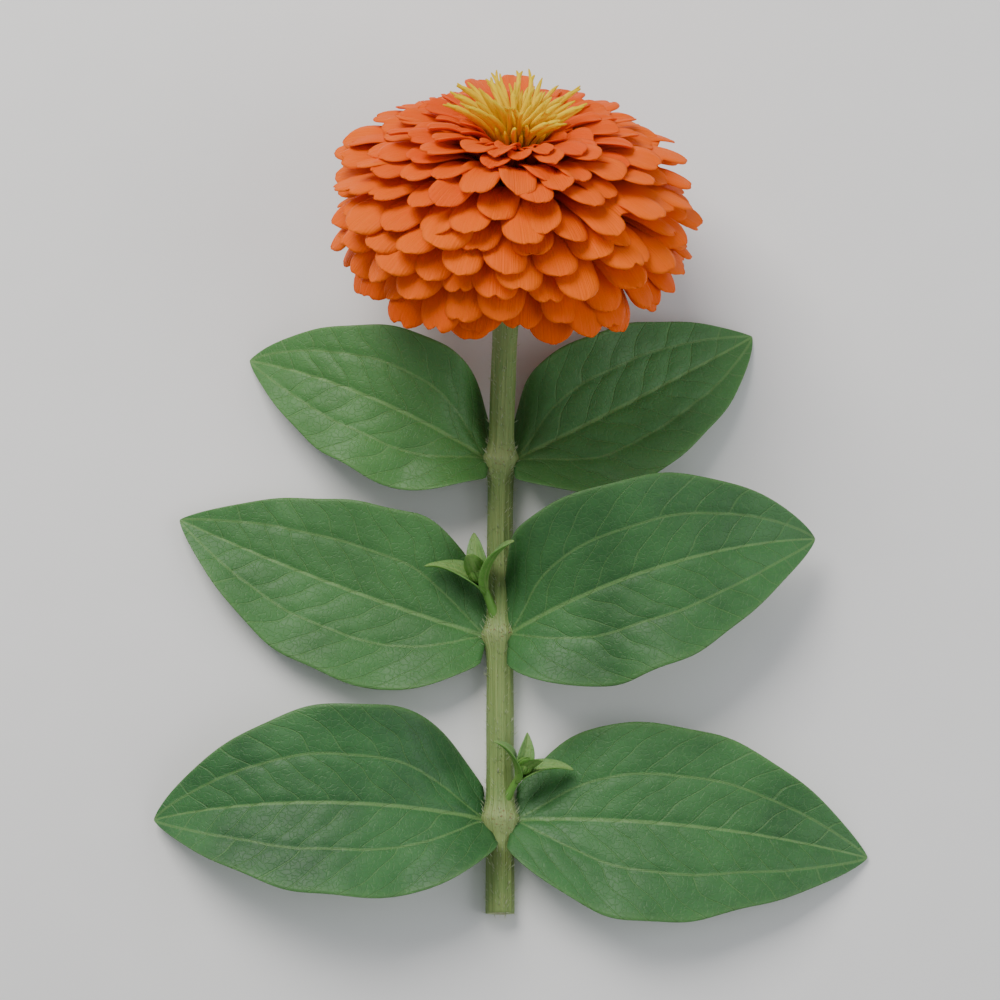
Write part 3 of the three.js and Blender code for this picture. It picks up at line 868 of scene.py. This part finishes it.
def strand(path, radii, sides, flat=1.0, reach=(0, 1)):
    """The form of a slim tube along a path. reach is where it starts and ends, as a share of the floret."""
    along = unit(np.gradient(path, axis=0))
    side = unit(np.cross(along, np.array([0.13, 1.0, 0.07])))
    vertices, faces, uv, marks = tube(path, side, np.cross(side, along) * flat, radii[:, None], sides)
    uv[:, 1] = lerp(*reach, uv[:, 1] / uv[:, 1].max())
    return vertices, faces, uv, marks


def joined(forms):
    """Several forms as one."""
    vertices, faces, uvs, marks = zip(*forms)
    starts = np.cumsum([0, *map(len, vertices)]).tolist()
    faces = [tuple(start + i for i in face) for start, part in zip(starts, faces) for face in part]
    marks = {mark: np.concatenate([part[mark] for part in marks]) for mark in marks[0]}
    return np.concatenate(vertices), faces, np.concatenate(uvs), marks


def floret_form(rank, seed):
    """One long floret: seven in ten end in a point and the rest in a forked style."""
    draw = np.random.default_rng(seed)
    length = lerp(9.6, 14.6, rank) * (1 + 0.17 * draw.uniform(-1, 1))
    start = math.radians(lerp(3, 28, rank))
    end = math.radians(lerp(16, 70, rank) + 9 * draw.uniform(-1, 1))
    root = ((CROWN_RADIUS - 1.1) * rank, CROWN_FOOT + lerp(1.2, 0.3, rank))
    t = np.linspace(0, 1, 15)
    r, z, _ = arc_point(root, length, start, end, t)
    sway = draw.uniform(-1, 1) * 1.5 * t**2 + 0.3 * np.sin(5 * t + draw.uniform(0, 6))
    path = np.stack([r, sway, z], -1)
    radii = 0.6 + 0.24 * smoothstep(t, 0, 0.2) - 0.08 * smoothstep(t, 0.45, 0.75)
    if draw.uniform() < POINTED_SHARE:
        radii[-5:] = POINTED_TIP
        return strand(path, radii, 8, FLORET_FLATNESS)
    radii[-1] = 0.5
    solids = [strand(path, radii, 8, FLORET_FLATNESS)]
    way = unit(path[-1] - path[-3])
    out = unit(np.cross(way, [0.2, 0.1, 1.0]))
    s = np.linspace(0, 1, 7)[:, None]
    for hand in (-1, 1):
        fork = 2.6 + 0.9 * draw.uniform(-1, 1)
        prong = path[-1] - way * 0.9 + way * fork * s + out * hand * (0.12 + 0.3 * s + 0.3 * s**2)
        solids.append(strand(prong, 0.4 - 0.1 * s[:, 0] - 0.14 * s[:, 0] ** 6, 7, reach=(0.85, 1)))
    return joined(solids)


def bud_form(rank, seed):
    height = BUD_LENGTH * (1 + 0.3 * np.random.default_rng(seed).uniform(-1, 1))
    up = height * np.linspace(0, 1, len(BUD_RADII))
    root = (5.3 * rank, CROWN_FOOT + 1.1 * (1 - rank**2))
    lean = math.radians(4 + 26 * rank)
    path = np.stack([root[0] + up * math.sin(lean), 0 * up, root[1] + up * math.cos(lean)], -1)
    return strand(path, BUD_RADII, 6)


def scale_surface(rank):
    lean = math.radians(2 + 30 * rank)

    def surface(u, v):
        half = 0.55 * np.clip(1 - v**3, 0.04, 1) ** 0.6
        out = 5.5 * rank + SCALE_LENGTH * v * math.sin(lean) - 0.25 * u * u
        return np.stack([out, half * u, CROWN_FOOT + 0.6 + SCALE_LENGTH * v * math.cos(lean)], -1)

    return surface


def even_ranks(count, offset):
    """How far out each part of the crown stands, from 0 to 1, so that they fill it evenly."""
    return [math.sqrt((k + offset) / count) for k in range(count)]


floret_yellow, tree, shader = finish_of(
    "floret_yellow",
    0.5,
    0.1,
    Subsurface_Scale=0.0015,
    Subsurface_Radius=(1.0, 0.6, 0.1),
    Specular_IOR_Level=0.18,
)
along = axes_of(tree, uv_on(tree))["Y"]
lines = streaks_on(tree, 9, 2.2, 0.2)
coloured(tree, shader, (0.86, 0.25, 0.0), [
    (stepped(tree, along, 0.0, 0.3), 1, (0.94, 0.6, 0.0)),
    (stepped(tree, along, 0.35, 0.9), 1, (0.98, 0.72, 0.002)),
    (mark_of(tree, "tone"), 0.3, (0.97, 0.6, 0.0)),
    (lines, 0.3, (0.95, 0.5, 0.0)),
])
raised(tree, shader, lines, 0.0001)

floret_forms = [floret_form(rank, 300 + k) for k, rank in enumerate(even_ranks(FLORETS, 0.5))]
crown = grow_round("crown_florets", floret_forms, floret_yellow, seed=21, loose=(0.12, 0.02, 0.02))
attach(crown, "root")
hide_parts("disc_florets")

bud_forms = [bud_form(rank, 380 + k) for k, rank in enumerate(even_ranks(BUDS, 0.3))]
buds = grow_round("unopened_florets", bud_forms, floret_yellow, seed=23, start=1.1, loose=(0.15, 0.0, 0.0))
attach(buds, "root")

scale_red, tree, shader = finish_of("scale_red", 0.5)
along = axes_of(tree, uv_on(tree))["Y"]
lines = streaks_on(tree, 12, 3, 0.2)
coloured(tree, shader, (0.5, 0.16, 0.02), [
    (stepped(tree, along, 0.3, 0.8), 1, (0.23, 0.018, 0.008)),
    (lines, 0.4, (0.42, 0.05, 0.01)),
])
raised(tree, shader, lines, 0.0001)

scale_forms = [blade(scale_surface(rank), SCALE_THICKNESS, SCALE_GRID) for rank in even_ranks(SCALES, 0.6)]
scales = grow_round("crown_scales", scale_forms, scale_red, seed=25, start=2.0, loose=(0.2, 0.0, 0.04))
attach(scales, "root")

# ---------------- leaves
# Six broad pointed leaves in three opposite pairs, without stalks: each grows straight from its node with a
# clasping foot. Three main veins run from foot to tip in furrows, with finer ones between. The edge is wavy.

LEAF_THICKNESS = 0.45
LEAF_GRID = (56, 90, 1.25)
LEAF_STEPS = 160
LEAF_SEAT = 1.2
VEIN_DEPTH = 0.525
# a leaf settles on the table from this height down, this softly
LEAF_LOWEST = 0.4
LEAF_SOFTNESS = 0.8
# angles in degrees: side round the stem; heading, pitch and roll from the foot of the leaf to its tip; then
# length and width, and how young its green is
LEAVES = {
    "leaf_upper_right": ("upper", 0, (68, 54), (20, -30), (-34, 4), (70, 38), 0.75),
    "leaf_upper_left": ("upper", 180, (-62, -70), (26, -36), (36, -6), (68, 37), 0.95),
    "leaf_middle_right": ("middle", 50, (66, 80), (44, -38), (-26, 10), (84, 46), 0.25),
    "leaf_middle_left": ("middle", 184, (-74, -64), (6, -6), (16, 0), (80, 44), 0.5),
    "leaf_lower_right": ("lower", 0, (90, 102), (18, -22), (-30, -4), (86, 47), 0.15),
    "leaf_lower_left": ("lower", 176, (-82, -98), (34, -36), (34, 6), (84, 46), 0.0),
}


def even_draws(seed):
    """The same run of numbers from -1 to 1 for the same seed."""
    state = seed

    def draw():
        nonlocal state
        state = (state * 1664525 + 1013904223) % 2**32
        return state / 2**31 - 1

    return draw


def leaf_outline(v):
    foot = 0.36 + 0.64 * np.sin(math.pi / 2 * np.clip(v / 0.34, 0, 1)) ** 0.8
    tip = np.cos(math.pi / 2 * np.clip((v - 0.36) / 0.64, 0, 1)) ** 0.85
    return foot * lerp(0.008, 1, np.clip(tip, 0, 1))


def leaf_places(u, v, length, width):
    """Places on a leaf, in millimetres: across, along and off the side vein."""
    half = width / 2 * leaf_outline(v)
    side_vein = 0.52 * (1 - np.exp(-v / 0.13))
    return u * half, v * length, (np.abs(u) - side_vein) * half


def vein_run(x, y, off):
    """Where a place lies between the fine veins: a whole and a half on a vein."""
    inner = y - 0.85 * np.abs(x) - 0.028 * x * x
    outer = y - 0.7 * np.maximum(off, 0) - 0.045 * np.maximum(off, 0) ** 2 + 3.4
    wobble = 0.07 * np.sin(0.31 * y + 0.4 * x) + 0.05 * np.sin(0.9 * x)
    return np.where(off > 0, outer, inner) / 7.5 + np.where(x > 0, 0.37, 0) + wobble


def leaf_surface(spec, seed):
    node, side_angle, headings, pitches, rolls, (length, width), _ = spec
    draw = even_draws(seed)
    waves = [draw() * math.pi for _ in range(4)]
    fold = 0.16 + 0.05 * draw()
    point, _, side, up = stem_frame(NODES_AT[node])
    inset = stem_radius(NODES_AT[node]) - LEAF_SEAT
    start = math.radians(side_angle)
    foot = point + side * inset * math.cos(start) + up * inset * math.sin(start)
    t = np.linspace(0, 1, LEAF_STEPS + 1)
    heading, pitch = np.radians(lerp(*headings, t)), np.radians(lerp(*pitches, t))
    ways = np.stack([np.sin(heading) * np.cos(pitch), np.cos(heading) * np.cos(pitch), np.sin(pitch)], -1)
    midrib = foot + np.concatenate([[[0, 0, 0]], np.cumsum(ways[:-1], axis=0)]) * length / LEAF_STEPS

    def surface(u, v):
        middle = np.stack([np.interp(v, t, midrib[:, k]) for k in range(3)], -1)
        way = unit(np.stack([np.interp(v, t, ways[:, k]) for k in range(3)], -1))
        level = unit(np.cross(way, np.array([0.0, 0, 1])))
        upright = np.cross(level, way)
        roll = np.radians(lerp(*rolls, smoothstep(v, 0, 0.28)))[..., None]
        across = level * np.cos(roll) - upright * np.sin(roll)
        normal = upright * np.cos(roll) + level * np.sin(roll)
        outline = leaf_outline(v)
        x, y, off = leaf_places(u, v, length, width)
        main_veins = bump(x, 1.1) + 0.75 * bump(off, 1.2) * smoothstep(v, 1.0, 0.75)
        fine_veins = 0.5 * bump((vein_run(x, y, off) % 1) - 0.5, 0.15)
        fine_veins = fine_veins * smoothstep(np.abs(u), 1.02, 0.7) * smoothstep(v, 1.0, 0.8)
        hand = np.where(u > 0, 0, 1)
        early, late = np.choose(hand, waves[:2]), np.choose(hand, waves[2:])
        ripple = np.sin(9 * v + early) + 0.6 * np.sin(17 * v + late)
        lift = fold * width / 2 * outline * np.abs(u) ** 1.5 + 0.9 * ripple * u * u * outline
        lift = lift + VEIN_DEPTH * (0.35 - main_veins - fine_veins) * np.minimum(1, outline * 1.4)
        wavy_edge = 1 + 0.022 * np.sin(12 * v + late) + 0.012 * np.sin(27 * v + waves[0] * hand)
        points = middle + across * (x * wavy_edge)[..., None] + normal * lift[..., None]
        settled = LEAF_SOFTNESS * np.logaddexp(0, (points[..., 2] - LEAF_LOWEST) / LEAF_SOFTNESS)
        points[..., 2] = LEAF_LOWEST + settled
        return points

    return surface


def leaf_marks(grid, length, width):
    """Marks on both faces of a leaf: its places, and its run between fine veins."""
    places = leaf_places(*blade_places(grid), length, width)
    blade_mm = np.tile(np.stack(places, -1).reshape(-1, 3), (2, 1))
    return {"blade_mm": blade_mm, "fine_run": np.tile(vein_run(*places).ravel(), 2)}


# Where the veins of a leaf run: Blade is across, along and off the side vein in millimetres, and Run is the
# place between two fine veins.
vein_net, taken, given = shader_group("leaf_veins", {"Blade": (0, 0, 0), "Run": 0}, ["Main", "Fine", "Net"])
on_blade = axes_of(vein_net, taken["Blade"])
narrowing = maths(vein_net, "MULTIPLY_ADD", on_blade["Y"], -0.006, 0.85)
off_midrib = maths(vein_net, "ABSOLUTE", on_blade["X"])
midrib = stepped(vein_net, off_midrib, narrowing, times(vein_net, narrowing, 0.35))
side_veins = stepped(vein_net, maths(vein_net, "ABSOLUTE", on_blade["Z"]), 0.5, 0.12)
main = maths(vein_net, "MAXIMUM", midrib, times(vein_net, side_veins, 0.75))
phase = maths(vein_net, "FRACT", taken["Run"])
off_line = maths(vein_net, "ABSOLUTE", maths(vein_net, "SUBTRACT", phase, 0.5))
drift = add(vein_net, "ShaderNodeTexNoise", {"Vector": taken["Blade"], "Scale": 0.35, "Detail": 2})
drift = vector_maths(vein_net, "MULTIPLY", drift.outputs["Color"], (3.0, 3.0, 0.0))
cells = add(
    vein_net,
    "ShaderNodeTexVoronoi",
    {"Vector": vector_maths(vein_net, "ADD", taken["Blade"], drift), "Scale": 0.7},
    voronoi_dimensions="2D",
    feature="DISTANCE_TO_EDGE",
)
vein_net.links.new(main, given["Main"])
vein_net.links.new(stepped(vein_net, off_line, 0.05, 0.012), given["Fine"])
vein_net.links.new(stepped(vein_net, cells.outputs["Distance"], 0.12, 0.02), given["Net"])


def leaf_finish(name, dark, light, young, under, vein, net_share):
    finish, tree, shader = finish_of(
        name, 0.5, 0.06, Subsurface_Radius=(0.3, 1.0, 0.1), Specular_IOR_Level=0.36
    )
    veins = effect(tree, vein_net, Blade=mark_of(tree, "blade_mm", "Vector"), Run=mark_of(tree, "fine_run"))
    uneven = patches_on(tree, 55, 0.22)
    mottled = patches_on(tree, 420, 0.25)
    coloured(tree, shader, dark, [
        (uneven, 1, light),
        (mottled, 0.25, light),
        (mark_of(tree, "tone"), 0.5, young),
        (mark_of(tree, "rim"), 0.35, vein),
        (mark_of(tree, "underside"), 1, under),
        (veins["Net"], net_share, vein),
        (veins["Fine"], 0.24, vein),
        (veins["Main"], 0.62, vein),
    ])
    tree.links.new(maths(tree, "MULTIPLY_ADD", mottled, 0.08, 0.44), shader.inputs["Roughness"])
    sunk = maths(tree, "MULTIPLY_ADD", veins["Net"], 0.35, times(tree, veins["Fine"], 0.8))
    raised(tree, shader, maths(tree, "SUBTRACT", times(tree, mottled, 0.3), sunk), 0.00014)
    return finish


leaf_green = leaf_finish(
    "leaf_green",
    dark=(0.021, 0.09, 0.026),
    light=(0.05, 0.17, 0.05),
    young=(0.1, 0.27, 0.06),
    under=(0.1, 0.22, 0.085),
    vein=(0.17, 0.32, 0.1),
    net_share=0.09,
)

for number, (name, spec) in enumerate(LEAVES.items()):
    *_, (length, width), young = spec
    points, faces, uv, marks = blade(leaf_surface(spec, 21 + number), LEAF_THICKNESS, LEAF_GRID)
    marks |= leaf_marks(LEAF_GRID, length, width)
    marks |= {"rim": np.abs(uv[:, 0] * 2 - 1) ** 24, "tone": np.full(len(points), young)}
    leaf = mesh_piece(name + "_blade", (points, faces, uv, marks), leaf_green)
    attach(leaf, "root")
    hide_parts(name)

# ---------------- young shoots
# Two side shoots that have just begun to grow where a leaf meets the stem: a short pale stalk, a green bud
# wrapped in its scales, and two pairs of small bright leaves that still stand half closed round it.

# for each shoot: its node, its side round the stem and its lean in degrees, and its size
SHOOTS = {"axil_shoot_middle": ("middle", 126, 36, 1.0), "axil_shoot_lower": ("lower", 48, 42, 0.85)}
# how far a shoot grows above its node and out from the middle of the stem
SHOOT_RISE = 4
SHOOT_SEAT = 1.5
SHOOT_FOOT = [[0.2, 0], [1.4, 0.2], [1.05, 4], [0.95, 9]]
SHOOT_BUD = [[1.3, 10.3], [2.2, 11.8], [2.1, 13.2], [1.4, 14.4], [0.2, 15]]
SHOOT_SIDES = 18
# the bud that the scales wrap: heights and radii, then how many scales and half their thickness
BUD_OUTLINE = ([10, 11.8, 13.2, 14.4, 15.2], [1.3, 2.25, 2.2, 1.5, 0.3])
BUD_SCALES = 10
BUD_SCALE_HALF = 0.12
BUD_SCALE_GRID = (4, 6, 1.4)
# for each pair of small leaves: height on the stalk, length, opening in degrees, and half the width
SHOOT_PAIRS = ((7.0, 17, 84, 3.6), (9.4, 12, 50, 2.6))
SMALL_LEAF_GRID = (12, 20, 1.2)
SMALL_LEAF_THICKNESS = 0.4

young_green = leaf_finish(
    "young_green",
    dark=(0.08, 0.22, 0.035),
    light=(0.15, 0.34, 0.055),
    young=(0.18, 0.38, 0.06),
    under=(0.16, 0.32, 0.09),
    vein=(0.26, 0.42, 0.12),
    net_share=0.1,
)


def shoot_marks(blade_mm, fine_run=0.0, underside=0.0):
    """The marks that the leaf's finish reads, for one part of a shoot."""
    none = np.zeros(len(blade_mm))
    return {
        "blade_mm": blade_mm,
        "fine_run": none + fine_run,
        "underside": none + underside,
        "rim": none,
        "tone": none,
    }


def bud_scale(k):
    """One scale of the bud, wrapped close round it."""
    _, faces, uv, _ = blade(lambda u, v: np.stack([u, v, 0 * u], -1), 1, BUD_SCALE_GRID)
    u, v = uv[:, 0] * 2 - 1, uv[:, 1]
    z = 10.4 + 0.25 * (k // 4) + 4.6 * v
    r = np.interp(z, *BUD_OUTLINE) + 0.12
    angle = 0.6 * k * SPIRAL_TURN + u * (1 - 0.94 * v**3) / np.maximum(r, 0.6)
    r = r + np.repeat([BUD_SCALE_HALF, -BUD_SCALE_HALF], len(u) // 2)
    points = np.stack([r * np.cos(angle), r * np.sin(angle), z], -1)
    return points, faces, uv, shoot_marks(np.stack([u * 3, v * 9, 0 * u + 3], -1))


def small_leaf(k, seed):
    """One of the four small leaves, two and two across from each other."""
    height, length, opening, half_width = SHOOT_PAIRS[k // 2]
    draw = np.random.default_rng(seed)
    reach = length * (1 + 0.08 * draw.uniform(-1, 1))
    end = math.radians(opening + 6 * draw.uniform(-1, 1))
    bend = draw.uniform(-1, 1)

    def surface(u, v):
        half = half_width * leaf_outline(v)
        r, z, angle = arc_point((0.3, height), reach, math.radians(14), end, v)
        furrow = 0.22 * bump(u, 0.2) * smoothstep(v, 1.0, 0.7)
        lift = 0.35 * half * u * u - furrow + 0.2 * np.sin(9 * v + bend) * u**3
        return np.stack([r - lift * np.cos(angle), half * u + bend * v * v, z + lift * np.sin(angle)], -1)

    points, faces, uv, marks = blade(surface, SMALL_LEAF_THICKNESS, SMALL_LEAF_GRID)
    angle = (k % 2) * math.pi + (math.pi / 2 if k > 1 else 0) + 0.1 * (k - 1.5)
    c, s = math.cos(angle), math.sin(angle)
    places = leaf_marks(SMALL_LEAF_GRID, length, 2 * half_width)
    marks = shoot_marks(places["blade_mm"], places["fine_run"] * 2.5, marks["underside"])
    return points @ np.array([[c, s, 0], [-s, c, 0], [0, 0, 1]]), faces, uv, marks


for number, (name, (node, side_angle, lean, size)) in enumerate(SHOOTS.items()):
    point, way, side, up = stem_frame(NODES_AT[node] + SHOOT_RISE)
    start, lean = math.radians(side_angle), math.radians(lean)
    outwards = side * math.cos(start) + up * math.sin(start)
    shoot_way = way * math.cos(lean) + outwards * math.sin(lean)
    turn = Vector((0, 0, 1)).rotation_difference(Vector(shoot_way))
    stalk = fine_profile(SHOOT_FOOT + SHOOT_BUD)
    points, faces, uv, _ = turned_solid(stalk, SHOOT_SIDES, lumps=0.03, seed=70 + number)
    solids = [(points, faces, uv, shoot_marks(np.full((len(points), 3), 9.0)))]
    solids += [bud_scale(k) for k in range(BUD_SCALES)]
    solids += [small_leaf(k, 80 + 7 * number + k) for k in range(4)]
    points, faces, uv, marks = joined(solids)
    points = (points * size) @ np.array(turn.to_matrix()).T + point + outwards * SHOOT_SEAT
    points[:, 2] = np.maximum(points[:, 2], 0.1)
    shoot = mesh_piece(name + "_growth", (points, faces, uv, marks), young_green)
    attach(shoot, "root")
    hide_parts(name)
